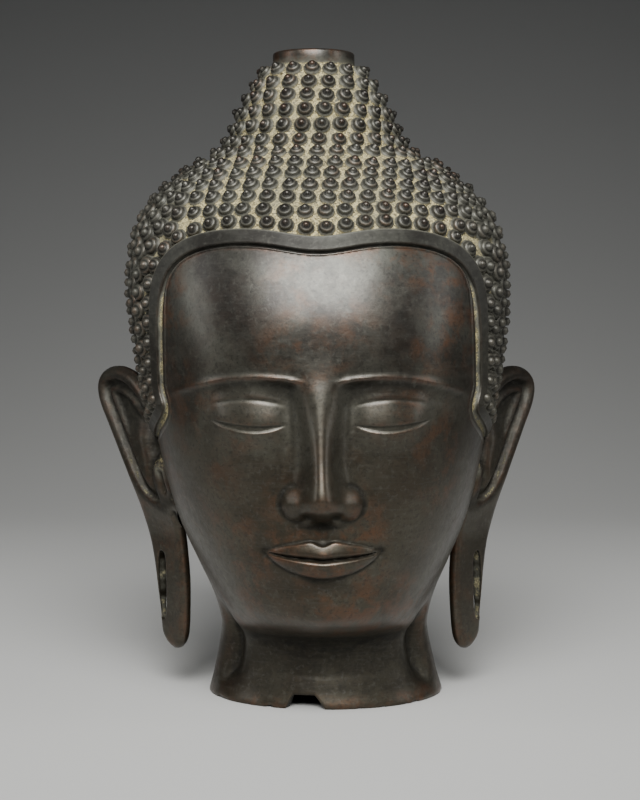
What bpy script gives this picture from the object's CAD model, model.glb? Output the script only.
import math

import bmesh
import bpy
import numpy as np
from bpy.props import FloatProperty, FloatVectorProperty, IntProperty, PointerProperty
from bpy.types import Operator, Panel, PropertyGroup
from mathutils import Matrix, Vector


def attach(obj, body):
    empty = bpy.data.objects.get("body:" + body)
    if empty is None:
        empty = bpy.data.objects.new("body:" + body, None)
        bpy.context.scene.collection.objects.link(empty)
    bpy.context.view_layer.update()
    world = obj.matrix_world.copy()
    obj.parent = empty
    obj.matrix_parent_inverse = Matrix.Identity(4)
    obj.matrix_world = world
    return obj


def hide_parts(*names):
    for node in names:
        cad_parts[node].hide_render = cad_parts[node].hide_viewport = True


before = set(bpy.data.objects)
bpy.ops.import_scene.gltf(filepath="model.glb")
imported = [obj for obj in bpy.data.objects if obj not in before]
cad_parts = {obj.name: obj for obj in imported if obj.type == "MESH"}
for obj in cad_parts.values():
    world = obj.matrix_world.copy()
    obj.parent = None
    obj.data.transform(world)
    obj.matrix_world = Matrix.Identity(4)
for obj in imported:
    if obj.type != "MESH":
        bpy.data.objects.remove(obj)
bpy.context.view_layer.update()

bl_info = {
    "name": "Bronze Buddha Head",
    "version": (1, 0, 0),
    "blender": (4, 5, 0),
    "location": "3D View > Sidebar > Buddha Head",
    "description": "A hollow-cast bronze buddha head with snail curls and long slit ears",
    "category": "Object",
}

# Lengths in the modelling below are millimetres in the casting's own axes: the middle of the neck is
# at the origin, the face looks along -Y, and z is the height above the rim. settled() moves them into
# the frame, where the box of the whole head stands centred on the origin.
MM = 0.001
BODY = "root"
NODE = "head"
FORWARD_OF_NECK = 3.3          # how far in front of the neck's middle that of the whole head lies
LEAN = math.radians(1.1)       # towards -X, about a point at the height of the pivot
LEAN_PIVOT = 155.0

# The bare head as level sections: height, half width, reach to the front, reach to the back, and the
# squareness of the section, where 2 is an ellipse.
SECTIONS = np.array([
    (0, 60.5, 50, 68, 2),
    (10, 57.5, 47.5, 65.5, 2),
    (24, 54.5, 46, 63.5, 2),
    (35, 53, 53, 63, 2),
    (43, 53.5, 73, 64, 2),
    (52, 56.5, 84, 66, 2),
    (68, 64, 88.5, 71, 2.05),
    (90, 73.5, 91.5, 79.5, 2.15),
    (115, 80.5, 94, 89, 2.3),
    (140, 85, 96.5, 96.5, 2.4),
    (165, 88.5, 98, 101.5, 2.4),
    (190, 92, 97, 103.5, 2.35),
    (210, 93.5, 93.5, 102.5, 2.3),
    (225, 92.5, 88, 99, 2.25),
    (240, 88.5, 79.5, 93, 2.2),
    (252, 81.5, 69.5, 85.5, 2.1),
    (262, 71.5, 59.5, 75, 2),
    (270, 60.5, 50.5, 64.5, 2),
    (275, 51, 44.5, 55, 2),
    (283, 43.8, 39, 48.5, 2),
    (299, 36.8, 32, 41.5, 2),
    (316, 26.8, 22, 31.5, 2),
    (323, 21.3, 16.5, 26, 2),
])

# The face is a calm one of its own, on the usual thirds and fifths.
HAIRLINE = 224.0
CHIN = 40.0
THIRD = (HAIRLINE - CHIN) / 3
BROW = HAIRLINE - THIRD
NOSE_BASE = BROW - THIRD
MOUTH = NOSE_BASE - THIRD / 3
EYE = BROW - THIRD / 4
EYE_WIDTH = 34.0
# The nose: height, reach and half width.
NOSE = np.array([
    (95.5, 0, 9), (98, 4.5, 10), (101, 11.5, 11.4), (104, 17, 12.2), (107.5, 19.6, 12.2), (111, 19.8, 11.4),
    (118, 17.8, 9.6), (128, 14.4, 8.6), (140, 11, 8.6), (150, 8.2, 9.4), (158, 5.8, 11), (166, 3, 14),
    (176, 0.6, 18), (183, 0, 21),
])
MOUTH_HALF = 27.0

# The hairline over the face is a rounded arch with a small dip in the middle.
ARCH_CENTRE = 160.0
ARCH_HALF = 77.5
ARCH_RISE = 68.5
ARCH_POWER = 5                 # squareness of the arch, where 2 is an ellipse
ARCH_DIP = 4.5
ARCH_DIP_WIDTH = 22.0
TEMPLE_FOOT = 130.0
TEMPLE_BOW = 2.4               # how far the temples bow in
TEMPLE_FLARE = 6.0             # how far they run out to the ears at their foot
EAR_ROOT = 118.0               # height of the hairline behind the ears, and at the back
NAPE = 74.0
HAIRLINE_STEP = 1.5
GROOVE_DEPTH = 1.6

# Neck rim, its recess and the notch broken out of its front: each edge of the notch is given as
# (foot, head) across.
WALL = 7.0
HOLLOW_TOP = 46.0
NOTCH_HEIGHT = 6.6
NOTCH_LEFT = (-20.6, -16.8)
NOTCH_RIGHT = (0.0, -6.0)

SCALP_COLUMNS = 220
COLLAR_RADIUS = 21.3
TOPKNOT_BACK = 5               # how far behind the neck's middle that of the collar lies

# Curls over the ears stand in a zigzag, this share of a pitch up and down, below the topknot.
ZIGZAG = 0.24
TOPKNOT_FOOT = 272

# Rows of curls from under the collar down to the middle of the brow, one pitch apart over the skin.
CURL_ROWS = np.array([318, 311.5, 304, 296.5, 289, 281.5, 275, 267.5, 262.3, 256.7, 250.5, 243.4, 236])

# Ears: height, inner edge and outer edge across, and thickness.
EAR_STATIONS = np.array([
    (21, 69.2, 80.0, 6.2),
    (27, 69.0, 81.2, 6.4),
    (36, 68.2, 82.2, 6.4),
    (56, 67.6, 84.2, 6.4),
    (72, 68.6, 86.6, 6.4),
    (84, 70, 89.7, 6.4),
    (96, 73, 93.1, 7),
    (108, 77, 97.2, 7.4),
    (120, 79, 102.3, 7.8),
    (134, 80.5, 108.4, 8),
    (145, 81.5, 113.2, 8.2),
    (153, 85.0, 115.0, 8.2),
    (159, 89.6, 114.4, 8),
    (163, 93.8, 112.2, 7.8),
    (166.5, 99.5, 108.2, 7.6),
])
EAR_COLUMNS = 25               # mesh lines across each half of an ear
EAR_TURN = math.radians(42)    # how far the leaf turns away from the line of sight
EAR_FRONT = -4.0               # where the leaf stands from front to back, at the planes below
EAR_PLANE_ABOVE = 84.0         # how far out that is, above the lobe and in it
EAR_PLANE_BELOW = 72.0
SLIT_FOOT = 35.0
SLIT_HEAD = 71.0
SLIT_REACH = 80.0              # how far out the middle of the slit lies
SLIT_WIDTH = 6.5
EAR_RIM = 7.4                  # width of the rolled rim
EAR_SHIFT = 2.0                # both ears sit this far towards -X
EAR_HAIR = 141.0               # no curls stand in front of the ears below this height


# The paper sweep in metres: half its width, where it starts to curve behind the head, the radius of
# the curve, and its top.
SWEEP = (8, 0.7, 1.8, 4)


def channels(code):
    """A hex code as sRGB channels from 0 to 1."""
    return tuple(int(code[k:k + 2], 16) / 255 for k in (1, 3, 5))


class CastingSettings(PropertyGroup):
    """Sizes and colours of the casting."""

    curl_pitch: FloatProperty(
        name="Curl pitch", description="Distance from one snail curl to the next",
        default=9.6 * MM, unit="LENGTH")
    curl_height: FloatProperty(
        name="Curl height", description="Height of a snail curl above the scalp",
        default=5.3 * MM, unit="LENGTH")
    curl_width: FloatProperty(
        name="Curl width", description="Width of the lowest coil of a snail curl",
        default=8.5 * MM, unit="LENGTH")
    curl_seed: IntProperty(
        name="Curl seed", description="Seed of the small differences between curls", default=11)
    band_width: FloatProperty(
        name="Band width", description="Width of the plain band along the hairline",
        default=7.0 * MM, unit="LENGTH")
    band_proud: FloatProperty(
        name="Band height", description="How far the band stands out from the brow",
        default=2.4 * MM, unit="LENGTH")
    grid: FloatProperty(
        name="Face grid", description="Distance between mesh lines over the face",
        default=0.9 * MM, unit="LENGTH")
    bronze: FloatVectorProperty(
        name="Bronze", description="Dark brown-black patina of the bronze",
        default=channels("#2e2c28"), subtype="COLOR_GAMMA")
    rubbed: FloatVectorProperty(
        name="Rubbed bronze", description="Reddish brown where hands have worn the patina",
        default=channels("#5e3c29"), subtype="COLOR_GAMMA")
    crust: FloatVectorProperty(
        name="Crust", description="Pale earthy crust left between the curls",
        default=channels("#bcb082"), subtype="COLOR_GAMMA")


class StudioSettings(PropertyGroup):
    """The floor, the lights and the camera."""

    lens: FloatProperty(
        name="Lens", description="Focal length on a 36 mm frame", default=78.75)
    distance: FloatProperty(
        name="Distance", description="From the camera to the middle of the head",
        default=0.906, unit="LENGTH")
    eye_height: FloatProperty(
        name="Camera height", description="Height of the camera above the floor",
        default=0.203, unit="LENGTH")
    rise: FloatProperty(
        name="Shift", description="How far the level camera's picture is moved down, as on a view camera",
        default=-0.129)
    key_power: FloatProperty(
        name="Top light", description="Power of the large softbox over the head",
        default=7.5, unit="POWER")
    side_power: FloatProperty(
        name="Side lights", description="Power of the two softboxes beside the head",
        default=0.9, unit="POWER")


# ---- reading tables and shaping curves ----

def smooth(value, low, high):
    """Goes from 0 at low to 1 at high, and stays level beyond both."""
    t = np.clip((value - low) / (high - low), 0.0, 1.0)
    return t * t * (3 - 2 * t)


def bell(value):
    return np.exp(-value * value)


def unit(vectors):
    return vectors / np.linalg.norm(vectors, axis=-1, keepdims=True)


def run(points):
    """Distance along a row of points, from its first."""
    steps = np.linalg.norm(np.diff(points, axis=0), axis=1)
    return np.concatenate([[0], np.cumsum(steps)])


def along(table, column, height):
    """Reads one column of a table at the given heights, along a smooth curve through its rows."""
    keys = table[:, 0]
    values = table[:, column]
    z = np.clip(np.asarray(height, float), keys[0], keys[-1])
    row = np.clip(np.searchsorted(keys, z, side="left") - 1, 0, len(keys) - 2)
    low = np.maximum(np.arange(len(keys)) - 1, 0)
    high = np.minimum(np.arange(len(keys)) + 1, len(keys) - 1)
    slope = (values[high] - values[low]) / (keys[high] - keys[low])
    span = keys[row + 1] - keys[row]
    t = (z - keys[row]) / span
    rise = (3 - 2 * t) * t * t
    start = (1 - t) * (1 - t) * t * span * slope[row]
    end = (t - 1) * t * t * span * slope[row + 1]
    return values[row] * (1 - rise) + values[row + 1] * rise + start + end


def skin(turn, z, inset=0.0):
    """Points of the bare head: turn 0 is the middle of the face, and half a turn is the back."""
    turn, z = np.broadcast_arrays(np.asarray(turn, float), np.asarray(z, float))
    half = along(SECTIONS, 1, z)
    deep = np.where(np.cos(turn) > 0, along(SECTIONS, 2, z), along(SECTIONS, 3, z))
    power = along(SECTIONS, 4, z)
    spread = np.abs(np.sin(turn) / half) ** power + np.abs(np.cos(turn) / deep) ** power
    radius = spread ** (-1 / power) - inset
    return np.stack([radius * np.sin(turn), -radius * np.cos(turn), z], axis=-1)


def outward(turn, z):
    """Directions square to the bare head."""
    step = 0.4
    around = skin(turn + step / 90, z) - skin(turn - step / 90, z)
    up = skin(turn, z + step) - skin(turn, z - step)
    return unit(np.cross(around, up))


def turn_at(x, z):
    """The turn at which the bare head reaches x to the side."""
    power = along(SECTIONS, 4, z)
    share = np.clip(np.abs(x) / along(SECTIONS, 1, z), 0, 1)
    y = along(SECTIONS, 2, z) * (1 - share ** power) ** (1 / power)
    return np.arctan2(x, y)


# ---- the hairline ----

def hairline_over_face(x):
    """Height of the arch over the face at a place across it."""
    fill = np.minimum(np.abs(x) / ARCH_HALF, 1) ** ARCH_POWER
    arch = ARCH_RISE * (1 - fill) ** (1 / ARCH_POWER)
    return ARCH_CENTRE + arch - ARCH_DIP * bell(x / ARCH_DIP_WIDTH)


def hairline_behind(turn):
    """Height of the hairline from the ears down to the nape."""
    folded = np.arccos(np.cos(turn))
    return NAPE + (EAR_ROOT - NAPE) * (1 - smooth(folded, math.pi / 2, math.pi))


def temple_edge(z):
    """How far out the hairline lies at the temples: it bows in, then runs out to the ear."""
    return ARCH_HALF - TEMPLE_BOW * bell((z - 148.5) / 7) + TEMPLE_FLARE * smooth(z, 151, TEMPLE_FOOT)


def in_hair(turn, z, margin=0.0):
    """True where the head lies among the curls, at least a margin beyond the hairline."""
    point = skin(turn, z)
    x = point[..., 0]
    behind = z > hairline_behind(turn) + margin
    before = (np.abs(x) > temple_edge(z) + margin) | (z > hairline_over_face(x) + margin)
    return np.where(point[..., 1] >= 0, behind, before & (z >= TEMPLE_FOOT + margin))


def hairline_loop(spacing):
    """The whole hairline as evenly spaced turns and heights, from the middle of the brow round."""
    angle = np.linspace(0, math.pi / 2, 120)
    across = (np.sin(angle) / ARCH_HALF) ** ARCH_POWER + (np.cos(angle) / ARCH_RISE) ** ARCH_POWER
    x = across ** (-1 / ARCH_POWER) * np.sin(angle)
    arch_z = hairline_over_face(x)
    temple_z = np.linspace(ARCH_CENTRE, TEMPLE_FOOT, 40)[1:]
    back_turn = np.linspace(math.pi / 2, math.pi, 120)
    turn = np.concatenate([turn_at(x, arch_z), turn_at(temple_edge(temple_z), temple_z), back_turn])
    z = np.concatenate([arch_z, temple_z, hairline_behind(back_turn)])
    turn = np.concatenate([turn, 2 * math.pi - turn[-2:0:-1], [2 * math.pi]])
    z = np.concatenate([z, z[-2:0:-1], [z[0]]])
    length = run(skin(turn, z))
    count = int(round(length[-1] / spacing))
    places = np.arange(count) * length[-1] / count
    return np.interp(places, length, turn), np.interp(places, length, z)


def hairline_frame(spacing, step):
    """Places along the hairline, with the way out of the head and the way to the hair at each."""
    turn, z = hairline_loop(spacing)
    places = skin(turn, z)
    out = outward(turn, z)
    onward = unit(np.roll(places, -step, axis=0) - np.roll(places, step, axis=0))
    return turn, z, places, out, np.cross(out, onward)


def hair_gap(points):
    """Distance of each point from the hairline."""
    line = skin(*hairline_loop(HAIRLINE_STEP))
    flat = points.reshape(-1, 3)
    gap = np.empty(len(flat))
    block = 4000
    for start in range(0, len(flat), block):
        offset = flat[start:start + block, None, :] - line[None, :, :]
        gap[start:start + block] = np.sqrt((offset ** 2).sum(-1).min(-1))
    return gap.reshape(points.shape[:-1])


# ---- the face ----

def brow_line(x):
    """Height of the long, flat bow of the brows."""
    reach = (np.abs(x) - 30) / 44
    return BROW + 2.5 - 9.5 * reach ** 2


def nose_relief(x, z):
    """A straight ridge that widens to the wings, with a crease round each wing and two nostrils."""
    reach = along(NOSE, 1, z)
    width = along(NOSE, 2, z)
    ridge = reach * np.exp(-(np.abs(x) / width) ** 2.1)
    round_wing = ((np.abs(x) - 12) / 7.6) ** 2 + ((z - NOSE_BASE - 5.2) / 8.4) ** 2
    wing = 7.0 * np.maximum(0, 1 - round_wing) ** 0.8
    beside = smooth(np.abs(x), 10, 15) * smooth(z, 99, 104)
    crease = 0.55 * bell((np.sqrt(round_wing) - 1.06) / 0.16) * beside
    nostril = 2.6 * bell((np.abs(x) - 6.4) / 2.6) * bell((z - NOSE_BASE + 0.6) / 1.7)
    soft = 2.8
    both = soft * (np.logaddexp(ridge / soft, wing / soft) - math.log(2))
    return both - crease - nostril


def eye_relief(x, z):
    """The raised brow line, the socket under it, and the ball with its two closed lids."""
    side = np.abs(x) - EYE_WIDTH
    below = brow_line(x) - z
    along_brow = smooth(np.abs(x), 5, 15) * (1 - smooth(np.abs(x), 56, 76))
    ridge = 1.1 * bell(below / 1.6) * along_brow
    drop = (1 - np.exp(-np.maximum(below, 0) / 3)) * bell(np.maximum(below - 6, 0) / 22)
    socket = (1.5 + 3.2 * bell((np.abs(x) - 14) / 12)) * drop * along_brow
    around = (side / 25) ** 2 + ((z - EYE + 2) / 17) ** 2
    ball = 1.9 * np.maximum(0, 1 - around) ** 1.3
    arch = np.maximum(0, 1 - (side / 19) ** 2)
    level = EYE - 2.6 + 0.06 * side
    upper = level - 1.9 * arch
    lower = level - 4.9 * arch
    ends = smooth(arch, 0, 0.75)
    lid = 1.15 * smooth(z, upper - 0.35, upper + 0.5) * bell(np.maximum(z - upper - 2, 0) / 10) * ends
    under = np.maximum(lower - z, -0.6)
    rim = 0.8 * smooth(under, -0.4, 0.5) * bell(np.maximum(under - 0.6, 0) / 5) * ends
    fold = EYE + 3.4 + 4.2 * (1 - (side / 22) ** 2)
    crease = 0.35 * bell((z - fold) / 0.9) * (1 - smooth(np.abs(side), 10, 20))
    return ridge - socket + ball + lid + rim - crease


def mouth_relief(x, z):
    """Two full lips on a soft muzzle, with the seam between them and a dimple at each corner."""
    reach = np.minimum(np.abs(x) / MOUTH_HALF, 1)
    line = MOUTH + 2.4 * reach ** 2.2 - 0.5 * bell(x / 5)
    bow = 1 + 0.1 * bell((np.abs(x) - 6) / 4) - 0.14 * bell(x / 3)
    upper = np.maximum(8.2 * (1 - reach ** 2) ** 0.8 * bow, 0.05)
    lower = np.maximum(9.8 * (1 - reach ** 2.2) ** 0.8, 0.05)
    body = np.sqrt(1 - reach ** 2)
    up = np.clip((z - line) / upper, 0, 1)
    down = np.clip((line - z) / lower, 0, 1)
    swell_up = 3.3 * np.sqrt(1 - (1 - np.minimum(up / 0.38, 1)) ** 2) * (1 - 0.6 * up ** 1.5)
    swell_down = 4.3 * np.sqrt(1 - (1 - np.minimum(down / 0.45, 1)) ** 2) * (1 - 0.75 * down ** 2)
    swell_up = swell_up * (1 - smooth(up, 0.88, 1))
    swell_down = swell_down * (1 - smooth(down, 0.86, 1))
    lips = np.where(z > line, swell_up, swell_down) * body
    seam = 1.3 * bell((z - line) / 0.7) * (1 - smooth(reach, 0.85, 1))
    corner = 1.9 * bell((np.abs(x) - MOUTH_HALF - 0.5) / 3) * bell((z - MOUTH - 2.6) / 3)
    muzzle = 4.5 * bell(x / 34) * bell((z - MOUTH) / 22)
    return muzzle + lips - seam - corner


def cheek_relief(x, z):
    """Cheeks, chin and forehead, the fold under the lip, the groove over it and the temples."""
    cheek = 3 * bell((np.abs(x) - 43) / 22) * bell((z - 114) / 26)
    chin = 3.8 * bell(x / 19) * bell((z - CHIN - 13) / 12)
    fold = 1.2 * bell(x / 24) * bell((z - MOUTH + 15) / 6)
    over_lip = smooth(z, MOUTH + 5.5, MOUTH + 9) * (1 - smooth(z, NOSE_BASE - 6, NOSE_BASE))
    philtrum = 0.9 * bell(x / 2.8) * over_lip
    temple = 1.5 * bell((np.abs(x) - 70) / 11) * bell((z - 168) / 22)
    forehead = 2.4 * bell(x / 60) * bell((z - 184) / 26)
    return cheek + chin - fold - philtrum - temple + forehead


def with_face(points):
    """Raises the features of the face out of the bare head."""
    x = points[..., 0]
    z = points[..., 2]
    relief = nose_relief(x, z) + eye_relief(x, z) + mouth_relief(x, z) + cheek_relief(x, z)
    points[..., 1] -= relief * smooth(-points[..., 1], 20, 50)
    return points


# ---- meshes ----

def settled(points):
    """Leans the casting as it stands and brings millimetres into the frame."""
    placed = np.array(points, float)
    placed[..., 0] += (LEAN_PIVOT - placed[..., 2]) * math.tan(LEAN)
    placed[..., 1] += FORWARD_OF_NECK
    return placed * MM


def ring_faces(count_rings, count_around, closed_rings=False):
    """Quads between rings of points, each ring closed on itself."""
    k = np.arange(count_around)
    nxt = (k + 1) % count_around
    rows = np.arange(count_rings if closed_rings else count_rings - 1)[:, None] * count_around
    up = (rows + count_around) % (count_rings * count_around)
    return np.stack([rows + k, rows + nxt, up + nxt, up + k], axis=-1).reshape(-1, 4)


def keep(mesh, key, values, kind="FLOAT"):
    """Keeps a number, or a vector, on each point of a mesh under a name."""
    layer = mesh.attributes.new(key, kind, "POINT")
    field = "vector" if kind == "FLOAT_VECTOR" else "value"
    layer.data.foreach_set(field, np.asarray(values, np.float32).reshape(-1))


def make_object(name, points, quads, caps=(), attributes=None):
    """A smooth mesh object from rows of points, quads, fans over closed rings, and attributes."""
    verts = settled(np.asarray(points).reshape(-1, 3))
    faces = [tuple(int(i) for i in face) for face in (*quads, *caps)]
    mesh = bpy.data.meshes.new(name)
    mesh.from_pydata(verts.tolist(), [], faces)
    mesh.validate()
    for key, values in (attributes or {}).items():
        keep(mesh, key, values)
    mesh.polygons.foreach_set("use_smooth", np.ones(len(mesh.polygons), bool))
    mesh.update()
    piece = bpy.data.objects.new(name, mesh)
    bpy.context.scene.collection.objects.link(piece)
    return piece


def fan(ring, centre, upward):
    """Triangles from a ring of point numbers to one more point."""
    after = np.roll(ring, -1)
    pairs = zip(ring, after) if upward else zip(after, ring)
    return [(a, b, centre) for a, b in pairs]


def stack(name, grid, attributes):
    """Rings of points one above the other as an object, closed by a fan at the foot and one at the head.

    Each attribute has its values over the rings, at the middle of the foot and at that of the head.
    """
    rings, around = grid.shape[:2]
    count = rings * around
    points = np.concatenate([grid.reshape(-1, 3), [grid[0].mean(axis=0), grid[-1].mean(axis=0)]])
    caps = fan(np.arange(around), count, False) + fan(np.arange(count - around, count), count + 1, True)
    values = {key: np.append(over, ends) for key, (over, *ends) in attributes.items()}
    return make_object(name, points, ring_faces(rings, around), caps, values)


def blurred(grid, passes):
    """Rings of points, each moved towards its neighbours a number of times."""
    soft = grid.copy()
    for _ in range(passes):
        around = (np.roll(soft, 1, axis=1) + np.roll(soft, -1, axis=1)) / 2
        up = soft.copy()
        up[1:-1] = (soft[2:] + soft[:-2]) / 2
        soft = (2 * soft + around + up) / 4
    return soft


def wear_and_dirt(grid, passes=14, reach=0.35):
    """How far each point of a grid stands out of its surroundings and how far it lies in them, 0 to 1."""
    around = np.roll(grid, -1, axis=1) - np.roll(grid, 1, axis=1)
    up = np.gradient(grid, axis=0)
    normal = np.cross(around, up)
    normal /= np.maximum(np.linalg.norm(normal, axis=-1, keepdims=True), 1e-9)
    proud = np.sum((grid - blurred(grid, passes)) * normal, axis=-1)
    return np.clip(proud / reach, 0, 1), np.clip(-proud / reach, 0, 1)


def finished(piece, material):
    """Gives a piece its material and says what it is in the frame."""
    piece.data.materials.clear()
    piece.data.materials.append(material)
    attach(piece, BODY)
    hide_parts(NODE)
    return piece


# ---- neck and face ----

def spaced(stops):
    """Heights or turns from (start, end, step) stops, without repeats."""
    values = [stops[0][0]]
    for start, end, step in stops:
        count = max(1, int(round((end - start) / step)))
        values.extend(start + (end - start) * (k + 1) / count for k in range(count))
    return np.array(values)


def face_grid(grid):
    """Heights and turns of the mesh lines, closest over the eyes, the nose and the mouth."""
    fine = grid * 0.6
    rows = spaced([
        (0, 36, grid * 1.7), (36, 72, grid * 1.1), (72, 92, fine), (92, 98, grid),
        (98, 110, fine), (110, 137, grid), (137, 156, fine), (156, 170, grid),
        (170, 212, grid * 1.8), (212, 226, fine), (226, 238, grid),
    ])
    per_mm = 1 / 95
    half = spaced([
        (0, 18, fine), (18, 58, grid), (58, 78, grid * 1.3), (78, 124, grid * 1.5),
        (124, 95 * math.pi, grid * 4.4),
    ]) * per_mm
    turns = np.concatenate([half, 2 * math.pi - half[-2:0:-1]])
    return rows, turns


def rim_break(turns, x):
    """Height of the broken rim above the floor: the notch, and small chips all round."""
    chips = np.sin(5 * turns + 0.6) * np.sin(17 * turns + 1.9)
    chips = chips + 0.5 * np.sin(41 * turns) * np.sin(9 * turns)
    chips = 1.1 * np.clip(chips - 0.35, 0, 1)
    return np.maximum(chips, notch_height(x) * (np.cos(turns) > 0))


def lifted(z, lift):
    """Squeezes heights near the foot so that the lowest ring follows the broken rim."""
    return np.where(z < 20, lift + z * (1 - lift / 20), z)


def neck_relief(points):
    """Hollows in front of the neck's side muscles, and faint level lines across the throat."""
    z = points[..., 2]
    side = np.abs(np.arctan2(points[..., 0], -points[..., 1]))
    across = side - 1.1 + (z - 24) * 0.003
    steep = np.where(across > 0, 0.075, 0.15)
    hollow = 5.2 * bell(across / steep) * smooth(z, 5, 17) * (1 - smooth(z, 34, 54))
    muscle = 1.1 * bell((across - 0.2) / 0.14) * smooth(z, 2, 16) * (1 - smooth(z, 40, 62))
    lines = bell((z - 15.5 - 2.4 * side) / 0.9) + 0.8 * bell((z - 25.5 - 2 * side) / 0.9)
    lines = 0.2 * lines * (1 - smooth(side, 0.45, 0.9))
    return muscle - hollow - lines


def notch_height(x):
    """How far the rim is broken away at a place across the front of the neck."""
    left = np.clip((x - NOTCH_LEFT[0]) / (NOTCH_LEFT[1] - NOTCH_LEFT[0]), 0, 1)
    right = np.clip((NOTCH_RIGHT[0] - x) / (NOTCH_RIGHT[0] - NOTCH_RIGHT[1]), 0, 1)
    side = np.minimum(left, right)
    return NOTCH_HEIGHT * (0.6 * side + 0.4 * smooth(side, 0, 1))


def build_face(settings, material):
    """The neck with its recess and broken rim, and the face up to the edge of the hair, as one shell."""
    rows, turns = face_grid(settings.grid / MM)
    lift = rim_break(turns, skin(turns, 0.0)[:, 0])
    turn, level = np.meshgrid(turns, rows)
    z = lifted(level, lift[None, :])
    covered = in_hair(turn, z)
    bare = skin(turn, z)
    gap = hair_gap(bare)
    in_groove = 1 - smooth(gap / groove_width(turn, z), 2.5, 3.4)
    sunk = np.where(covered, GROOVE_DEPTH + 3.0 * smooth(gap, 3, 9), GROOVE_DEPTH * in_groove)
    sunk = sunk - neck_relief(bare)
    outer = with_face(skin(turn, z, sunk))
    recess = [
        (0.0, WALL - 1.2), (1.2, WALL), (12.0, WALL), (26.0, WALL),
        (HOLLOW_TOP - 10, WALL), (HOLLOW_TOP - 3, WALL + 5), (HOLLOW_TOP, WALL + 16),
    ]
    inner = []
    for height, inset in recess:
        ring = skin(turns, min(height, 14.0), inset)
        ring[:, 2] = lifted(np.full(len(turns), height), lift)
        inner.append(ring)
    edge = skin(turns, lift, 0.9)
    outer[0] = skin(turns, lift + 0.25, 0.25)
    grid = np.concatenate([np.array(inner[::-1]), edge[None], outer])
    worn, dirty = wear_and_dirt(outer)
    worn = np.maximum(worn, 0.8 * bell(outer[..., 2] / 3))
    on_neck = smooth(outer[..., 2], 2, 10) * (1 - smooth(outer[..., 2], 24, 46))
    dirty = np.maximum(dirty, 0.6 * on_neck)
    hollow = np.zeros((len(inner) + 1, len(turns)))
    attributes = {
        "worn": (np.concatenate([hollow, worn]), 0, 0),
        "dirty": (np.concatenate([hollow + 1, dirty]), 1, 1),
        "crusted": (np.concatenate([hollow + 0.3, covered * 1.0]), 0.3, 1),
    }
    return finished(stack("cast_face_and_neck", grid, attributes), material)


# ---- scalp, band and collar ----

def build_scalp(material):
    """The crusted ground that the curls stand on, tucked under the face's edge at the hairline."""
    rows = spaced([(64, 230, 3.0), (230, 322, 2.0)])
    turns = np.arange(SCALP_COLUMNS) / SCALP_COLUMNS * 2 * math.pi
    turn, z = np.meshgrid(turns, rows)
    bare = skin(turn, z)
    covered = in_hair(turn, z)
    gap = np.where(covered, hair_gap(bare), 0)
    sunk = np.where(covered, 6.4 * (1 - smooth(gap, 0, 3)), 10)
    before_ear = (bare[..., 1] < 2) * (1 - smooth(z, EAR_HAIR - 4, EAR_HAIR + 2))
    attributes = {
        "crusted": (1 - before_ear, 1, 1), "dirty": (np.full(z.shape, 0.3), 0.3, 0.3),
        "worn": (np.zeros(z.shape), 0, 0),
    }
    return finished(stack("cast_scalp", skin(turn, z, sunk), attributes), material)


def groove_width(turn, z):
    """Width of the groove beside the band against a plain one: wide at the temples, narrow over the brow."""
    temple = 1 + 0.5 * smooth(np.cos(turn), 0, 0.4)
    return temple - smooth(z, 188, 222) * (np.cos(turn) > 0)


def band_share(turn, z):
    """Width of the band against its full one: it narrows down the temples."""
    return 1 - 0.38 * (1 - smooth(z, 178, 220)) * (np.cos(turn) > 0)


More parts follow.
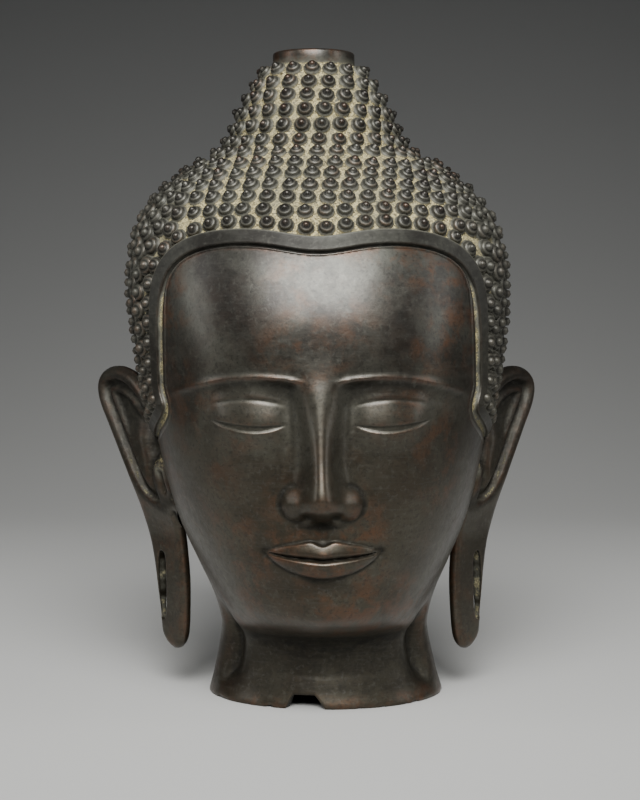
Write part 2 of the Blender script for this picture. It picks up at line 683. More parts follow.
def build_band(settings, material):
    """The plain band along the hairline, with the groove that sets it off from the face."""
    width = settings.band_width / MM
    proud = settings.band_proud / MM
    # Towards the hair, outwards, wear, crust, dirt.
    profile = np.array([
        (-4.6, -2.2, 0.0, 0.0, 0), (-4.4, -0.25, 0.0, 0.0, 0), (-3.5, 0.12, 0.3, 0, 0),
        (-2.7, 0.24, 0.45, 0, 0), (-2.2, 0.05, 0.4, 0.15, 0), (-1.9, -0.7, 0.0, 0.7, 0),
        (-1.0, -0.9, 0.0, 1.0, 0), (-0.1, -0.8, 0.0, 1.0, 0),
        (0.0, proud - 1.6, 0.1, 0.25, 0.3), (0.1, proud - 0.95, 0.1, 0.1, 0.35),
        (0.35, proud - 0.68, 0.4, 0.1, 0.45), (0.7, proud - 0.57, 0.1, 0.1, 0.5),
        (1.2, proud - 0.44, 0, 0.11, 0.6), (width * 0.5, proud + 0.2, 0.0, 0.12, 0.65),
        (width - 1.1, proud + 0.84, 0, 0.13, 0.6), (width - 0.6, proud + 0.95, 0.0, 0.3, 0.4),
        (width - 0.2, proud + 0.8, 0.2, 0.46, 0.1), (width, proud - 0.1, 0.1, 0.6, 0),
        (width + 0.1, -1.0, 0.0, 1.0, 0), (width, -8, 0.0, 1.0, 0), (0.6, -8, 0.0, 1.0, 0),
    ])
    turn, z, places, out, to_hair = hairline_frame(HAIRLINE_STEP, 1)
    across = np.broadcast_to(profile[None, :, 0], (len(places), len(profile)))
    across = across * np.where(across < 0, groove_width(turn, z)[:, None], band_share(turn, z)[:, None])
    sideways = to_hair[:, None, :] * across[..., None]
    grid = with_face(places[:, None, :] + sideways + out[:, None, :] * profile[None, :, 1:2])
    quads = ring_faces(len(places), len(profile), closed_rings=True)
    in_groove = profile[None, :, 0] < 0.05
    front = (smooth(z, 196, 222) * (np.cos(turn) > 0))[:, None]
    patchy = 0.74 + 0.3 * np.sin(z * 0.41 + 2 * np.sin(turn * 9)) * np.sin(z * 0.17 + 1.3)
    crusted = profile[None, :, 3] * (1 - 0.75 * front * in_groove)
    crusted = np.where(in_groove, crusted * patchy[:, None], crusted)
    dirty = np.maximum(profile[None, :, 4], profile[None, :, 3] * front * in_groove)
    worn = np.broadcast_to(profile[None, :, 2], grid.shape[:2]) * 0.6
    attributes = {"dirty": dirty, "worn": worn, "crusted": crusted}
    piece = make_object("hairline_band", grid, quads[:, ::-1], (), attributes)
    return finished(piece, material)


def build_collar(material):
    """The flat-topped collar on the topknot, where a finial once sat."""
    # Radius, height, wear and crust of each ring.
    rings = np.array([
        (COLLAR_RADIUS - 1.2, 316, 0, 1), (COLLAR_RADIUS - 0.4, 322.4, 0, 0.8),
        (COLLAR_RADIUS, 323.6, 0.2, 0.3), (COLLAR_RADIUS, 328.8, 0.3, 0),
        (COLLAR_RADIUS - 0.3, 329.6, 0.9, 0), (COLLAR_RADIUS - 1, 330, 0.6, 0),
        (COLLAR_RADIUS - 3, 330, 0.1, 0),
    ])
    around = 96
    turn = np.arange(around) / around * 2 * math.pi
    grid = np.array([
        np.stack([radius * np.sin(turn), TOPKNOT_BACK - radius * np.cos(turn), np.full(around, z)], axis=-1)
        for radius, z in rings[:, :2]])
    attributes = {
        "worn": (np.repeat(rings[:, 2], around), 0, 0),
        "dirty": (np.zeros(len(rings) * around), 0, 0),
        "crusted": (np.repeat(rings[:, 3], around), 1, 0),
    }
    return finished(stack("finial_collar", grid, attributes), material)


# ---- ears ----

def ear_depth(x, z):
    """How far back the middle of an ear's leaf lies: the leaf turns away from the cheek."""
    plane = EAR_PLANE_BELOW + (EAR_PLANE_ABOVE - EAR_PLANE_BELOW) * smooth(z, 76, 112)
    return EAR_FRONT + (x - plane) / math.tan(EAR_TURN)


def ear_rows(count):
    """Heights of the mesh lines of an ear, closest at its ends and at the ends of the slit."""
    first, last = EAR_STATIONS[0, 0], EAR_STATIONS[-1, 0]
    ends = [first, SLIT_FOOT, SLIT_HEAD, last]
    shares = (0.16, 0.3, 0.54)
    rows = []
    for low, high, share in zip(ends[:-1], ends[1:], shares):
        t = np.linspace(0, 1, int(count * share) + 1)
        t = (0.5 - 0.5 * np.cos(math.pi * t)) * 0.6 + t * 0.4
        rows.append((low + (high - low) * t)[:-1])
    z = np.concatenate(rows + [[last]])
    z[0] += 0.12
    z[-1] -= 0.12
    return z


def ear_outline(z):
    """Inner and outer edge of an ear, rounded off at both ends."""
    middle = (along(EAR_STATIONS, 1, z) + along(EAR_STATIONS, 2, z)) / 2
    half = (along(EAR_STATIONS, 2, z) - along(EAR_STATIONS, 1, z)) / 2
    foot = np.clip((EAR_STATIONS[0, 0] + 9 - z) / 9, 0, 1)
    head = np.clip((z - EAR_STATIONS[-1, 0] + 3) / 3, 0, 1)
    half = half * np.sqrt(1 - foot ** 2) * np.sqrt(1 - head ** 2.5)
    return middle - half, middle + half


def distance_to_line(x, z, line_x, line_z):
    """Distance of each point of a grid from a row of points."""
    flat_x, flat_z = x.reshape(-1, 1), z.reshape(-1, 1)
    gap = np.hypot(flat_x - line_x[None, :], flat_z - line_z[None, :]).min(axis=1)
    return gap.reshape(x.shape)


def ear_edge_gap(x, z, lean):
    """Distance of each point of an ear from its free edge, along the leaf."""
    edge_z = ear_rows(600)
    edge_in, edge_out = ear_outline(edge_z)
    across = np.linspace(0, 1, 9)
    ends = [edge_in[end] + (edge_out[end] - edge_in[end]) * across for end in (0, -1)]
    outline_x = np.concatenate([edge_in, edge_out, *ends])
    outline_z = np.concatenate([edge_z, edge_z, across * 0 + edge_z[0], across * 0 + edge_z[-1]])
    clear = outline_x > along(SECTIONS, 1, outline_z) - 2
    free = clear | (outline_z < 92) | (outline_z > 152)
    return distance_to_line(x / lean, z, outline_x[free] / lean, outline_z[free])


def ear_grid():
    """Columns across an ear, with one on each lip of the slit in its lobe."""
    z = ear_rows(150)
    inner, outer = ear_outline(z)
    under = 6 * smooth(z, 84, 104) * (1 - smooth(z, 150, 163))
    middle = (SLIT_HEAD + SLIT_FOOT) / 2
    half_length = (SLIT_HEAD - SLIT_FOOT) / 2
    shape = np.sqrt(np.maximum(0, 1 - np.abs((z - middle) / half_length) ** 5))
    slit_half = SLIT_WIDTH / 2 * math.sin(EAR_TURN) * shape
    blend = smooth(z, SLIT_FOOT - 14, SLIT_FOOT) * (1 - smooth(z, SLIT_HEAD, SLIT_HEAD + 16))
    slit_mid = (inner + outer) / 2 * (1 - blend) + SLIT_REACH * blend
    even = np.linspace(0, 1, EAR_COLUMNS)
    share = 0.65 * (1 - np.cos(math.pi * even)) / 2 + 0.35 * even
    left = (inner - under)[:, None] + (slit_mid - slit_half - inner + under)[:, None] * share
    right = (slit_mid + slit_half)[:, None] + (outer - slit_mid - slit_half)[:, None] * share
    return np.concatenate([left, right], axis=1), z, slit_half


def ear_relief(x, z, edge):
    """Depth of an ear's bowl below its rim, how near each point is to the ledge, and the bowl's shade."""
    foot = (z - 95.5 - 0.5 * (x - 78)) * 0.88
    soft = 2.5
    inside = -soft * np.logaddexp(-(edge - EAR_RIM) / soft, -foot / soft) + 0.6
    head = x - along(SECTIONS, 1, z)
    bowl = smooth(inside, -0.5, 1.5)
    leaf = 3.0 * smooth(inside, 1.5, 6) * smooth(head, 1, 7)
    pocket = 4.0 * (1 - smooth(head, -0.5, 5)) * smooth(inside, 2, 7)
    pit = 2.6 * smooth(inside, 5.5, 8.5) * smooth(z, 128, 141)
    rim = 0.8 * bell((edge - EAR_RIM * 0.5) / (EAR_RIM * 0.45)) * smooth(z, 92, 112)
    depth = bowl * 3.6 - leaf + pocket + pit - rim
    ledge = bell((inside - 0.3) / 0.42) * smooth(z, 92, 97) * (1 - 0.5 * smooth(z, 120, 150))
    ledge = ledge * (0.72 + 0.28 * np.sin(z * 0.5 + 2 * np.sin(z * 0.13)))
    slope = 0.75 * smooth(inside, -4.5, -1.5) * (1 - smooth(inside, 2.5, 4.5))
    shade = bowl * (0.35 + 0.5 * smooth(z, 120, 146) + 0.4 * smooth(6 - head, 0, 4))
    return depth, ledge, np.clip(np.maximum(slope, shade), 0, 1)


def build_ears(material):
    """Both ears, as the same casting mirrored: a thin leaf with a rolled rim and a slit lobe."""
    x, z, slit_half = ear_grid()
    columns = x.shape[1]
    half = columns // 2
    tall = np.broadcast_to(z[:, None], x.shape)
    thick = along(EAR_STATIONS, 3, tall)
    lean = math.sin(EAR_TURN)
    edge = ear_edge_gap(x, tall, lean)
    roll = np.clip(edge / (thick * 0.55), 0, 1)
    rounded = np.sqrt(np.maximum(0, 1 - (1 - roll) ** 2))
    to_slit = np.where(np.arange(columns) < half, x[:, half - 1:half] - x, x - x[:, half:half + 1])
    lip = np.where(slit_half[:, None] > 0.05, to_slit / lean, 9)
    lip_drop = 0.9 * (1 - np.sqrt(np.maximum(0, 1 - (1 - np.clip(lip / 1.1, 0, 1)) ** 2)))
    depth, ledge, shade = ear_relief(x, tall, edge)
    out = np.array([math.cos(EAR_TURN), -math.sin(EAR_TURN), 0])
    flat = np.stack([x, ear_depth(x, tall), tall], axis=-1)
    front = flat + out * (thick / 2 * rounded - np.maximum(depth, -2) - lip_drop)[..., None]
    behind = thick / 2 * rounded + np.maximum(depth, 0) * 0.9 * smooth(edge, 1, 6) - lip_drop * 0.6
    back = flat - out * behind[..., None]
    worn, dirty = wear_and_dirt(front, 5, 0.25)
    dirty = np.maximum(dirty, shade)
    by_head = smooth(-x + along(SECTIONS, 1, tall), -3, 1) * smooth(tall, 104, 116)
    crusted = np.clip(ledge + 0.5 * by_head, 0, 1)
    return [ear_object(name, side, front, back, worn, dirty, crusted, slit_half, material)
            for side, name in ((1, "ear_right"), (-1, "ear_left"))]


def ear_object(name, side, front, back, worn, dirty, crusted, slit_half, material):
    """Joins the front and the back of an ear round its edge, and through its slit by two walls."""
    rows, columns = front.shape[:2]
    half = columns // 2
    count = rows * columns
    through = np.array([0.0, 0.12, 0.5, 0.88, 1.0])[:, None, None]
    walls = [(front[None, :, column] * (1 - through) + back[None, :, column] * through).reshape(-1, 3)
             for column in (half - 1, half)]
    tips = np.array([front[0].mean(axis=0), front[-1].mean(axis=0)])
    tips[:, 2] += (-0.12, 0.12)
    points = np.concatenate([front.reshape(-1, 3), back.reshape(-1, 3), *walls, tips])
    points[:, 0] = points[:, 0] * side - EAR_SHIFT
    open_row = np.maximum(slit_half[:-1], slit_half[1:]) > 0.001
    quads = []
    for row in range(rows - 1):
        for k in range(columns - 1):
            if k == half - 1 and open_row[row]:
                continue
            a = row * columns + k
            b = count + a
            quads.append((a, a + 1, a + 1 + columns, a + columns))
            quads.append((b + 1, b, b + columns, b + 1 + columns))
        if open_row[row]:
            for wall, k in ((wall, k) for wall in (0, 1) for k in range(len(through) - 1)):
                a = 2 * count + (wall * len(through) + k) * rows + row
                quads.append((a, a + 1, a + 1 + rows, a + rows))
    bottom = np.concatenate([np.arange(columns), count + np.arange(columns)[::-1]])
    tip = len(points) - 2
    caps = fan(bottom, tip, False) + fan(bottom + (rows - 1) * columns, tip + 1, True)
    z = front[:, half, 2]
    patchy = 0.5 + 0.1 * side + 0.22 * np.sin(z * 0.37 + side) + 0.16 * np.sin(z * 0.93 + 2 * side)
    wall_crust = (np.array([0.3, 0.9, 1.0, 0.7, 0.25])[:, None] * patchy[None, :]).ravel()
    shades = {
        "worn": (worn, worn * 0.4, wall_crust * 0), "dirty": (dirty, dirty * 0, wall_crust * 0 + 0.4),
        "crusted": (crusted, crusted * 0, wall_crust),
    }
    attributes = {key: np.concatenate([ahead.ravel(), behind.ravel(), inside, inside, [0, 0]])
                  for key, (ahead, behind, inside) in shades.items()}
    piece = make_object(name, points, quads, caps, attributes)
    weld(piece, 0.02 * MM)
    return finished(piece, material)


def weld(piece, distance):
    """Merges points that coincide and turns every face outwards."""
    work = bmesh.new()
    work.from_mesh(piece.data)
    bmesh.ops.remove_doubles(work, verts=work.verts, dist=distance)
    bmesh.ops.dissolve_degenerate(work, edges=work.edges, dist=distance / 4)
    bmesh.ops.recalc_face_normals(work, faces=work.faces)
    work.to_mesh(piece.data)
    work.free()
    piece.data.update()


# ---- snail curls ----

def ring_of_curls(z, count, phase):
    """Turns of evenly spaced places round the head at one height."""
    turn = np.linspace(0, 2 * math.pi, 721)
    length = run(skin(turn, z))
    places = (np.arange(count) + phase) % count / count * length[-1]
    return np.interp(places, length, turn)


def curl_rows(pitch):
    """Heights of the rows of curls, from the collar down to the nape."""
    below = np.arange(CURL_ROWS[-1] - pitch, NAPE, -pitch * 0.985)
    return np.concatenate([CURL_ROWS, below])


def row_beside_band(settings):
    """The first curls, side by side along the edge of the band."""
    pitch = settings.curl_pitch / MM
    turn, z, places, _, to_hair = hairline_frame(0.5, 2)
    reach = settings.band_width / MM * band_share(turn, z) + pitch * 0.5
    moved = places + to_hair * reach[:, None]
    on_turn = np.unwrap(np.arctan2(moved[:, 0], -moved[:, 1]))
    length = run(moved)
    count = int(round(length[-1] / pitch))
    at = (np.arange(count) + 0.5) * length[-1] / count
    return np.interp(at, length, on_turn), np.interp(at, length, moved[:, 2])


def spread_out(turn, z, fixed, pitch, passes=24):
    """Moves the free curls apart where they crowd each other, and keeps them in their rows elsewhere."""
    turn, z = turn.copy(), z.copy()
    home = skin(turn, z)
    for _ in range(passes):
        place = skin(turn, z)
        offset = place[:, None, :] - place[None, :, :]
        gap = np.linalg.norm(offset, axis=-1)
        np.fill_diagonal(gap, 1e9)
        push = np.clip(pitch * 0.93 - gap, 0, None) / gap
        move = (offset * push[..., None]).sum(axis=1) * 0.3 + (home - place) * 0.03
        move[fixed] = 0
        moved = place + move
        turn = np.where(fixed, turn, np.arctan2(moved[:, 0], -moved[:, 1]))
        z = np.where(fixed, z, np.clip(moved[:, 2], 60, 319))
    return turn, z


def curl_layout(settings):
    """Turn and height of every curl."""
    pitch = settings.curl_pitch / MM
    rng = np.random.default_rng(settings.curl_seed)
    first_turn, first_z = row_beside_band(settings)
    turns, heights = [first_turn], [first_z]
    phase = 0.0
    count = 0
    circle = np.linspace(0, 2 * math.pi, 361)
    for z in curl_rows(pitch):
        wanted = run(skin(circle, z))[-1] / pitch
        if abs(wanted - count) > 0.06 * wanted:
            count = int(round(wanted))
        phase -= 0.13
        on_ring = ring_of_curls(z, count, phase)
        to_side = smooth(np.arccos(np.cos(on_ring)), 0.7, 1.3) * (z < TOPKNOT_FOOT)
        zigzag = np.where(np.arange(count) % 2 == 0, ZIGZAG, -ZIGZAG) + rng.uniform(-0.08, 0.08, count)
        level = z + zigzag * to_side * pitch
        clear = settings.band_width / MM * band_share(on_ring, level) + pitch * 1.1
        free = in_hair(on_ring, level) & (hair_gap(skin(on_ring, level)) > clear)
        turns.append(on_ring[free])
        heights.append(level[free])
    turn = np.concatenate(turns)
    z = np.concatenate(heights)
    kept = (z > EAR_HAIR) | (np.cos(turn) < -0.05)
    turn, z = turn[kept], z[kept]
    fixed = np.arange(len(turn)) < kept[:len(first_turn)].sum()
    return spread_out(turn, z, fixed, pitch)


def curl_mesh(settings):
    """One snail curl, a flat pad, a round coil on it and a knob, with its paint as point attributes."""
    wide = settings.curl_width / MM / 2
    tall = settings.curl_height / MM
    # Out, up, crust, dirt, wear.
    profile = np.array([
        (1.05, -0.12, 0.8, 0.0, 0.0), (1.0, 0.22, 0.36, 0.0, 0.1), (0.75, 0.25, 0.3, 0.85, 0.0),
        (0.78, 0.42, 0.22, 0.1, 0.0), (0.64, 0.58, 0.25, 0.0, 0.15), (0.41, 0.55, 0.1, 1.0, 0.0),
        (0.34, 0.86, 0.0, 0.1, 0.2),
    ])
    around = 10
    angle = np.arange(around) / around * 2 * math.pi
    circle = wide * np.stack([np.cos(angle), np.sin(angle), angle * 0], axis=-1)
    rings = [r * circle + (0, 0, h * tall) for r, h in profile[:, :2]]
    points = np.concatenate([*rings, [(0, 0, tall)]])
    tip = len(points) - 1
    faces = [*ring_faces(len(profile), around), *fan(np.arange(tip - around, tip), tip, True)]
    mesh = bpy.data.meshes.new("snail_curl")
    mesh.from_pydata((points * MM).tolist(), [], [tuple(int(i) for i in face) for face in faces])
    for column, key in ((2, "crusted"), (3, "dirty"), (4, "worn")):
        keep(mesh, key, np.append(np.repeat(profile[:, column], around), profile[-1, column]))
    mesh.polygons.foreach_set("use_smooth", np.ones(len(mesh.polygons), bool))
    return mesh


def add(tree, kind, inputs=None, **settings):
    """Adds a node with its properties, and gives each input a value or the socket that feeds it."""
    node = tree.nodes.new(kind)
    for name, value in settings.items():
        setattr(node, name, value)
    for key, value in (inputs or {}).items():
        if isinstance(value, bpy.types.NodeSocket):
            tree.links.new(value, node.inputs[key])
        else:
            node.inputs[key].default_value = value
    return node


def curl_tree():
    """Geometry nodes that set a curl on every point, each a little different in size and tilt."""
    tree = bpy.data.node_groups.new("snail_curls", "GeometryNodeTree")
    sockets = [
        ("Points", "NodeSocketGeometry"), ("Curl", "NodeSocketObject"),
        ("Size variation", "NodeSocketFloat"), ("Tilt", "NodeSocketFloat"),
        ("Seed", "NodeSocketInt"), ("Material", "NodeSocketMaterial"),
    ]
    for name, kind in sockets:
        tree.interface.new_socket(name, in_out="INPUT", socket_type=kind)
    tree.interface.new_socket("Geometry", in_out="OUTPUT", socket_type="NodeSocketGeometry")
    given = add(tree, "NodeGroupInput").outputs
    facing = add(tree, "GeometryNodeInputNamedAttribute", {"Name": "facing"}, data_type="FLOAT_VECTOR")
    size = add(tree, "GeometryNodeInputNamedAttribute", {"Name": "size"}, data_type="FLOAT_VECTOR")
    upright = add(tree, "FunctionNodeAlignRotationToVector", {"Vector": facing.outputs[0]}, axis="Z")
    least = add(tree, "ShaderNodeMath", {0: given["Tilt"], 1: -1.0}, operation="MULTIPLY")
    low = add(tree, "ShaderNodeCombineXYZ", {"X": least.outputs[0], "Y": least.outputs[0], "Z": 0.0})
    high = add(tree, "ShaderNodeCombineXYZ", {"X": given["Tilt"], "Y": given["Tilt"], "Z": 2 * math.pi})
    turned = add(tree, "FunctionNodeRandomValue", data_type="FLOAT_VECTOR", inputs={
        "Min": low.outputs[0], "Max": high.outputs[0], "Seed": given["Seed"]})
    spin = add(tree, "FunctionNodeEulerToRotation", {0: turned.outputs[0]})
    rotation = add(tree, "FunctionNodeRotateRotation", {0: upright.outputs[0], 1: spin.outputs[0]},
                   rotation_space="LOCAL")
    smallest = add(tree, "ShaderNodeMath", {0: 1.0, 1: given["Size variation"]}, operation="SUBTRACT")
    largest = add(tree, "ShaderNodeMath", {0: 1.0, 1: given["Size variation"]}, operation="ADD")
    grown = add(tree, "FunctionNodeRandomValue", data_type="FLOAT", inputs={
        2: smallest.outputs[0], 3: largest.outputs[0], "Seed": given["Seed"]})
    scale = add(tree, "ShaderNodeVectorMath", {0: size.outputs[0], "Scale": grown.outputs[1]},
                operation="SCALE")
    shape = add(tree, "GeometryNodeObjectInfo", {"Object": given["Curl"]})
    placed = add(tree, "GeometryNodeInstanceOnPoints", {
        "Points": given["Points"], "Instance": shape.outputs["Geometry"],
        "Rotation": rotation.outputs[0], "Scale": scale.outputs[0]})
    real = add(tree, "GeometryNodeRealizeInstances", {"Geometry": placed.outputs[0]})
    painted = add(tree, "GeometryNodeSetMaterial",
                  {"Geometry": real.outputs[0], "Material": given["Material"]})
    add(tree, "NodeGroupOutput", {0: painted.outputs[0]})
    return tree


def facing_of(turn, z):
    """Which way each curl points: square to the head, and a little forwards beside the band."""
    out = outward(turn, z)
    near = bell(np.maximum(hair_gap(skin(turn, z)) - 14, 0) / 16) * smooth(np.cos(turn), -0.5, 0.1)
    out[:, 1] -= 0.85 * near * np.abs(out[:, 0])
    return unit(out)


def curl_sizes(turn, z):
    """Size of each curl against the common one, broad over the ears, and the bloom that covers it."""
    side = smooth(np.arccos(np.cos(turn)), 0.75, 1.15) * (1 - smooth(z, 240, 262))
    wide = 1 + 0.28 * side
    return np.stack([wide, wide, 1 + 0.14 * side], axis=-1), 0.5 * side


def build_curls(settings, material):
    """The snail curls, set by geometry nodes and turned into one plain mesh."""
    turn, z = curl_layout(settings)
    rng = np.random.default_rng(settings.curl_seed)
    foot = skin(turn, z)
    foot += rng.uniform(-0.25, 0.25, foot.shape)
    seats = make_object("snail_curls", foot, ())
    size, bloomed = curl_sizes(turn, z)
    keep(seats.data, "facing", facing_of(turn, z), "FLOAT_VECTOR")
    keep(seats.data, "size", size, "FLOAT_VECTOR")
    keep(seats.data, "bloomed", bloomed)
    shape = bpy.data.objects.new("snail_curl", curl_mesh(settings))
    tree = curl_tree()
    modifier = seats.modifiers.new("Curls", "NODES")
    modifier.node_group = tree
    named = {item.name: item.identifier for item in tree.interface.items_tree if item.in_out == "INPUT"}
    modifier[named["Curl"]] = shape
    modifier[named["Size variation"]] = 0.06
    modifier[named["Tilt"]] = math.radians(4)
    modifier[named["Seed"]] = settings.curl_seed
    modifier[named["Material"]] = material
    bpy.context.view_layer.update()
    graph = bpy.context.evaluated_depsgraph_get()
    mesh = bpy.data.meshes.new_from_object(seats.evaluated_get(graph))
    seats.modifiers.remove(modifier)
    seats.data = mesh
    mesh.name = "snail_curls"
    bpy.data.objects.remove(shape)
    if len(mesh.polygons) < 1000:
        raise RuntimeError("the curls came out empty")
    return finished(seats, material)


# ---- material ----

def linear(color):
    """A hex code or sRGB channels as the linear RGBA that sockets take."""
    values = channels(color) if isinstance(color, str) else color
    lights = [c / 12.92 if c <= 0.04045 else ((c + 0.055) / 1.055) ** 2.4 for c in values]
    return (*lights, 1.0)


def patinated_bronze(settings):
    """Cast bronze, chiselled smooth and patinated.

    The eye sees a dark grey-brown satin skin with soft highlights, reddish where hands have rubbed
    what stands out, dull in the hollows, and pale earth caked between the curls.
    """
    material = bpy.data.materials.new("patinated_cast_bronze")
    material.use_nodes = True
    tree = material.node_tree
    tree.nodes.clear()
    place = add(tree, "ShaderNodeTexCoord").outputs["Object"]
    level = add(tree, "ShaderNodeMapping", {"Vector": place, "Scale": (0.14, 0.14, 1.0)}).outputs[0]
    axes = add(tree, "ShaderNodeSeparateXYZ", {0: place}).outputs
    made = {"height": axes[2]}
    made["aside"] = add(tree, "ShaderNodeMath", {0: axes[0]}, operation="ABSOLUTE").outputs[0]
    for name in ("worn", "dirty", "crusted", "bloomed"):
        made[name] = add(tree, "ShaderNodeAttribute", attribute_name=name).outputs["Fac"]

    # Each pattern's place, its size in millimetres, its detail and its distortion. Real pits and dust
    # are about 0.3 mm; pit, fleck, crumb, speck and fibre are drawn coarser than that, so that they show.
    patterns = {
        "cloud": (place, 36, 5, 0.5), "patch": (place, 9, 6, 0.3), "region": (place, 55, 2, 0.0),
        "grime": (place, 5, 3, 0.0), "speck": (place, 1.6, 5, 0.3), "fleck": (place, 2.4, 6, 0.5),
        "crumb": (place, 1.8, 6, 0.4), "fibre": (place, 1.9, 5, 2.0), "stain": (place, 22, 3, 0.0),
        "wave": (place, 22, 1, 0.0), "mark": (place, 4, 4, 0.4), "pit": (place, 0.7, 4, 0.0),
        "stroke": (level, 1.3, 5, 0.5),
    }
    for name, (where, size, detail, distortion) in patterns.items():
        made[name] = add(tree, "ShaderNodeTexNoise", {
            "Vector": where, "Scale": 1 / (size * MM), "Detail": detail, "Roughness": 0.6,
            "Distortion": distortion}).outputs["Fac"]

    # Masks, each from what is made above it. After its name, a mask either reads one thing between two
    # levels and gives a share from one value to another, or joins two things by an operation.
    masks = [
        ("clouds", "cloud", 0.4, 0.62, 0, 1), ("low down", "height", 0.11, 0.2, 0.55, 0),
        ("patches", "patch", 0.44, 0.62, 0, 1), ("regions", "region", 0.42, 0.6, 0, 1),
        ("clean", "dirty", 0, 0.5, 0.8, 0), ("patchy", "MULTIPLY", "patches", "regions"),
        ("thin", "MULTIPLY", "patchy", "clean"), ("often rubbed", "patch", 0.38, 0.64, 0.05, 0.42),
        ("rubbed", "MULTIPLY", "worn", "often rubbed"), ("greasy", "grime", 0.3, 0.6, 0.4, 0.9),
        ("dirt", "MULTIPLY", "dirty", "greasy"), ("specks", "speck", 0.52, 0.66, 0, 0.45),
        ("flecks", "fleck", 0.54, 0.74, 0, 0.34), ("strokes", "stroke", 0.52, 0.74, 0, 0.2),
        ("far aside", "aside", 0.066, 0.096, 0, 1), ("even", "grime", 0.3, 0.6, 0.45, 1),
        ("beside", "MULTIPLY", "far aside", "even"), ("pad", "crusted", 0.12, 0.4, 0, 1),
        ("weathered", "MAXIMUM", "pad", "bloomed"), ("powder", "speck", 0.3, 0.55, 0.45, 1),
        ("powdered", "MULTIPLY", "weathered", "powder"), ("open", "dirty", 0.25, 0.9, 1, 0.1),
        ("bloom", "MULTIPLY", "powdered", "open"), ("crumbs", "crumb", 0.34, 0.58, 0.35, 1),
        ("cake", "MULTIPLY", "crusted", "crumbs"), ("crust", "cake", 0.38, 0.62, 0, 1),
        ("fibres", "fibre", 0.46, 0.58, 0, 0.85), ("dust", "crumb", 0.54, 0.62, 0, 0.7),
        ("stains", "stain", 0.46, 0.62, 0, 0.45), ("sheen", "mark", 0.3, 0.7, 0.34, 0.47),
        ("bare", "crust", 0, 1, 0.78, 0), ("unbloomed", "bloom", 0, 1, 1, 0.55),
        ("metal", "MULTIPLY", "bare", "unbloomed"), ("wax", "crust", 0, 0.6, 0.3, 0),
        ("polished", "dirty", 0, 0.8, 1, 0.1), ("glossy", "bloom", 0, 0.8, 1, 0.1),
        ("shine", "MULTIPLY", "wax", "polished"), ("coat", "MULTIPLY", "shine", "glossy"),
        ("crumbly", "crust", 0, 1, 0, 0.8),
    ]
    for name, source, *terms in masks:
        if len(terms) == 4:
            low, high, start, end = terms
            node = add(tree, "ShaderNodeMapRange", {
                "Value": made[source], 1: low, 2: high, 3: start, 4: end}, clamp=True)
        else:
            first, second = terms
            node = add(tree, "ShaderNodeMath", {0: made[first], 1: made[second]}, operation=source)
        made[name] = node.outputs[0]

    # Paints from below: the grey-green bloom on the curls; the earth between them, with fibres, dust and
    # stains; and the metal, grey-black with weathered clouds, olive brown low down, brown where thin, red
    # where rubbed, black dirt, dark specks, light flecks, strokes of the polishing stone, bloom and earth.
    paints = {
        "grey powder": ("#66655a", ("beside", "#46463f")),
        "earth": (settings.crust, ("fibres", "#4c442b"), ("dust", "#393323"), ("stains", "#82806a"),
                  ("beside", "#484537")),
        "metal skin": (settings.bronze, ("clouds", "#4b4b44"), ("low down", "#39311f"),
                       ("thin", "#563b27"), ("rubbed", settings.rubbed), ("dirt", "#1b1a17"),
                       ("specks", "#1f1e1b"), ("flecks", "#5b5a53"), ("strokes", "#55544f"),
                       ("bloom", "grey powder"), ("crust", "earth")),
    }
    for name, (base, *layers) in paints.items():
        color = linear(base)
        for mask, over in layers:
            over = made[over] if over in ("grey powder", "earth") else linear(over)
            color = add(tree, "ShaderNodeMix", {0: made[mask], 6: color, 7: over},
                        data_type="RGBA").outputs[2]
        made[name] = color

    # Satin metal, duller where dirty, on the bloom and along the strokes, and earth without any shine.
    rough = made["sheen"]
    for source, amount in (("dirty", 0.2), ("bloom", 0.3), ("strokes", 0.12)):
        rough = add(tree, "ShaderNodeMath", {0: made[source], 1: amount, 2: rough},
                    operation="MULTIPLY_ADD").outputs[0]
    rough = add(tree, "ShaderNodeMix", {0: made["crust"], 2: rough, 3: 0.92}, data_type="FLOAT").outputs[0]

    # The skin waves over some 20 mm, with chisel marks of 4 mm, level strokes, fine pits and crumbly earth.
    normal = None
    for name, strength, depth in (("wave", 0.5, 0.5), ("mark", 0.45, 0.2), ("stroke", 0.2, 0.05),
                                  ("pit", 0.4, 0.06), ("fibre", made["crumbly"], 0.9)):
        inputs = {"Height": made[name], "Strength": strength, "Distance": depth * MM}
        if normal:
            inputs["Normal"] = normal
        normal = add(tree, "ShaderNodeBump", inputs).outputs[0]
    shader = add(tree, "ShaderNodeBsdfPrincipled", {
        "Base Color": made["metal skin"], "Roughness": rough, "Metallic": made["metal"],
        "Coat Weight": made["coat"], "Coat Roughness": 0.26, "Normal": normal})
    add(tree, "ShaderNodeOutputMaterial", {"Surface": shader.outputs[0]})
    return material


def plain(name, color, roughness):
    """One even colour with no gloss, as on matt paper: the eye sees only the light that falls on it."""
    material = bpy.data.materials.new(name)
    material.use_nodes = True
    shader = material.node_tree.nodes["Principled BSDF"]
    shader.inputs["Base Color"].default_value = linear(color)
    shader.inputs["Roughness"].default_value = roughness
    return material


def bronze():
    """The material that every piece shares, made when the first one asks for it."""
    made = bpy.data.materials.get("patinated_cast_bronze")
    return made or patinated_bronze(bpy.context.scene.buddha_casting)


# ---- stage ----

def aimed(thing, place, target):
    """Stands a light or a camera in the scene and points it at a target."""
    thing.location = place
    away = Vector(target) - Vector(place)
    thing.rotation_euler = away.to_track_quat("-Z", "Y").to_euler()
    bpy.context.scene.collection.objects.link(thing)
    return thing


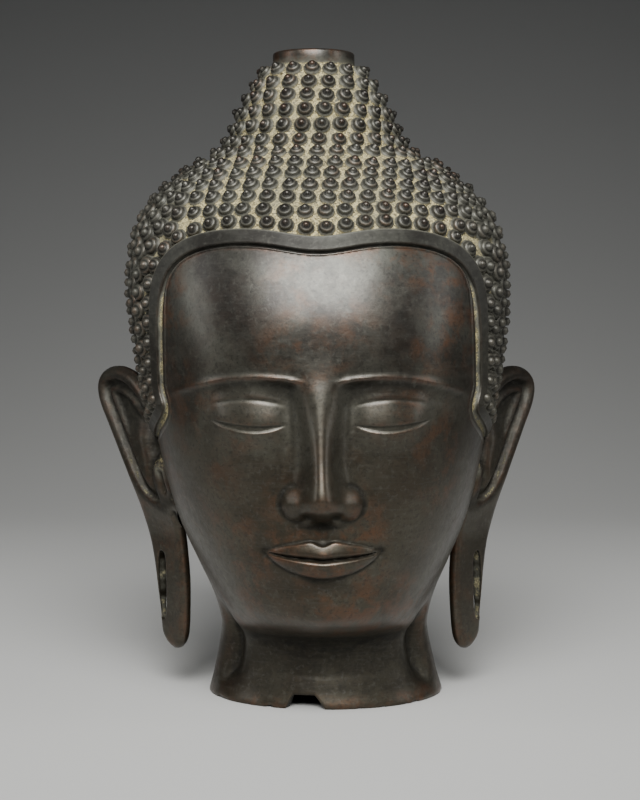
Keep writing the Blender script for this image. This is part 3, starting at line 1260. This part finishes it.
def softbox(name, place, target, wide, high, power, spread):
    """A soft rectangular light."""
    lamp = bpy.data.lights.new(name, "AREA")
    lamp.shape = "RECTANGLE"
    lamp.size = wide
    lamp.size_y = high
    lamp.energy = power
    lamp.spread = math.radians(spread)
    return aimed(bpy.data.objects.new(name, lamp), place, target)


def build_stage(settings):
    """A paper sweep that curves up behind the head, three softboxes, a dim room and the camera."""
    half, start, radius, top = SWEEP
    angles = np.linspace(0.04, math.pi / 2, 40)
    curve = [(start + radius * math.sin(angle), radius - radius * math.cos(angle)) for angle in angles]
    profile = [(-half, 0), (start, 0), *curve, (start + radius, top)]
    points = [(x, y, z) for y, z in profile for x in (-half, half)]
    faces = [(2 * k, 2 * k + 1, 2 * k + 3, 2 * k + 2) for k in range(len(profile) - 1)]
    mesh = bpy.data.meshes.new("sweep")
    mesh.from_pydata(points, [], faces)
    mesh.polygons.foreach_set("use_smooth", np.ones(len(faces), bool))
    mesh.materials.append(plain("matt_studio_paper", "#b9b9b6", 0.95))
    sweep = bpy.data.objects.new("studio_sweep", mesh)
    bpy.context.scene.collection.objects.link(sweep)
    world = bpy.data.worlds.new("dim_room")
    world.use_nodes = True
    background = world.node_tree.nodes["Background"]
    background.inputs["Color"].default_value = linear("#c9ccd0")
    background.inputs["Strength"].default_value = 0.12
    bpy.context.scene.world = world
    softbox("top_softbox", (0, -0.88, 0.88), (0, -0.02, 0.2), 0.85, 0.7, settings.key_power, 80)
    for name, side in (("left_softbox", -1), ("right_softbox", 1)):
        softbox(name, (0.95 * side, -0.3, 0.5), (0, 0, 0.2), 0.35, 0.8, settings.side_power, 110)
    lens = bpy.data.cameras.new("camera")
    lens.lens = settings.lens
    lens.sensor_width = 36
    lens.shift_y = settings.rise
    eye = Vector((0, -settings.distance, settings.eye_height))
    bpy.context.scene.camera = aimed(bpy.data.objects.new("camera", lens), eye, (0, 0, settings.eye_height))


# ---- the add-on ----

class BUDDHA_OT_face(Operator):
    """Build the hollow neck and the face, up to the edge of the hair"""
    bl_idname = "buddha.face"
    bl_label = "Face and neck"

    def execute(self, context):
        build_face(context.scene.buddha_casting, bronze())
        return {"FINISHED"}


class BUDDHA_OT_crown(Operator):
    """Build the scalp, the band along the hairline and the collar on the topknot"""
    bl_idname = "buddha.crown"
    bl_label = "Scalp, band and collar"

    def execute(self, context):
        build_scalp(bronze())
        build_band(context.scene.buddha_casting, bronze())
        build_collar(bronze())
        return {"FINISHED"}


class BUDDHA_OT_ears(Operator):
    """Build the two long ears with slit lobes"""
    bl_idname = "buddha.ears"
    bl_label = "Ears"

    def execute(self, context):
        build_ears(bronze())
        return {"FINISHED"}


class BUDDHA_OT_curls(Operator):
    """Set the snail curls in rows over the hair and the topknot"""
    bl_idname = "buddha.curls"
    bl_label = "Snail curls"

    def execute(self, context):
        build_curls(context.scene.buddha_casting, bronze())
        return {"FINISHED"}


class BUDDHA_OT_stage(Operator):
    """Set up the floor, the lights and the camera"""
    bl_idname = "buddha.stage"
    bl_label = "Studio"

    def execute(self, context):
        build_stage(context.scene.buddha_studio)
        return {"FINISHED"}


class BUDDHA_PT_panel(Panel):
    """Sizes, colours and build steps of the buddha head"""
    bl_idname = "BUDDHA_PT_panel"
    bl_label = "Buddha Head"
    bl_space_type = "VIEW_3D"
    bl_region_type = "UI"
    bl_category = "Buddha Head"

    def draw(self, context):
        for settings in (context.scene.buddha_casting, context.scene.buddha_studio):
            box = self.layout.box()
            for name in settings.__annotations__:
                box.prop(settings, name)
        for step in STEPS:
            self.layout.operator(step.bl_idname)


STEPS = (BUDDHA_OT_face, BUDDHA_OT_crown, BUDDHA_OT_ears, BUDDHA_OT_curls, BUDDHA_OT_stage)
CLASSES = (CastingSettings, StudioSettings, *STEPS, BUDDHA_PT_panel)


def register():
    for kind in CLASSES:
        bpy.utils.register_class(kind)
    bpy.types.Scene.buddha_casting = PointerProperty(type=CastingSettings)
    bpy.types.Scene.buddha_studio = PointerProperty(type=StudioSettings)


def unregister():
    del bpy.types.Scene.buddha_studio
    del bpy.types.Scene.buddha_casting
    for kind in reversed(CLASSES):
        bpy.utils.unregister_class(kind)


def main():
    register()
    bpy.ops.buddha.face()
    bpy.ops.buddha.crown()
    bpy.ops.buddha.ears()
    bpy.ops.buddha.curls()
    bpy.ops.buddha.stage()


if __name__ == "__main__":
    main()
